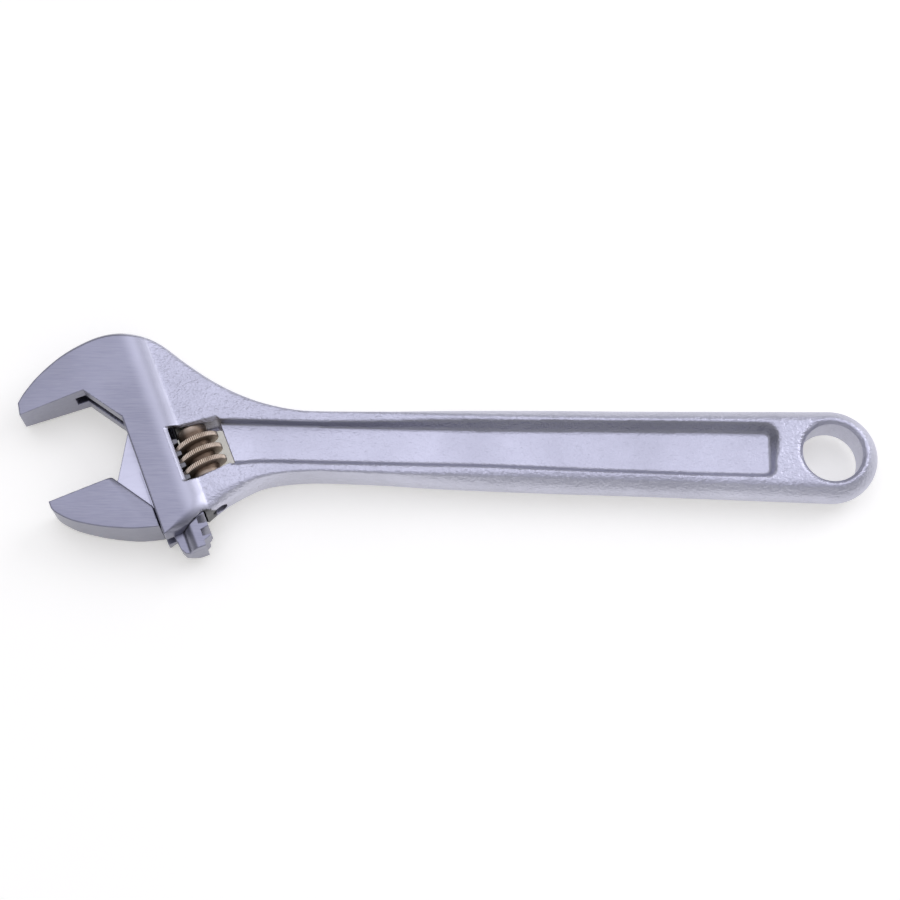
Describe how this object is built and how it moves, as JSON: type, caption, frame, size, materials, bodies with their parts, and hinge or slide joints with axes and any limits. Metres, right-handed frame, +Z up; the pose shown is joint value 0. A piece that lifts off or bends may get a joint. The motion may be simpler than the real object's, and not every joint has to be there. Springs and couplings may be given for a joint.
{
  "type": "adjustable wrench",
  "caption": "Adjustable spanner with an I-section handle and hanging hole; a worm knurl in the head's window slides the movable jaw along its rail.",
  "frame": {"origin": "centre of the hanging hole at mid-thickness", "axes": "+X along the handle, away from the head; +Y towards the fixed jaw's side; +Z up through the flat faces, along the hanging hole"},
  "size_m": [0.2526, 0.0676, 0.0148],
  "materials": {
    "satin_chrome": "satin chrome plate over a forged, lightly hammered surface, brushed across the head",
    "jaw_chrome": "satin chrome plate, brushed faces",
    "browned_knurl": "browned metal with bright straight knurling on the thread crests",
    "pin_steel": "plain turned steel",
    "spring_steel": "oiled spring wire"
  },
  "bodies": {
    "body": {"body": "satin_chrome", "knurl_pin": "pin_steel", "knurl_spring": "spring_steel"},
    "jaw": {"movable_jaw": "jaw_chrome"},
    "knurl": {"adjusting_knurl": "browned_knurl"}
  },
  "joints": [
    {"name": "knurl_spin", "type": "hinge", "parent": "body", "child": "knurl", "pos_m": [-0.1853, -0.0023, 0], "axis": [-0.3827, 0.9239, 0], "range_deg": [-2640, 450]},
    {"name": "jaw_slide", "type": "slide", "parent": "body", "child": "jaw", "axis": [-0.3827, 0.9239, 0], "range_m": [-0.0048, 0.0282]}
  ],
  "couplings": [
    {"joint": "knurl_spin", "follows": "jaw_slide", "rad_per_m": -1632}
  ]
}
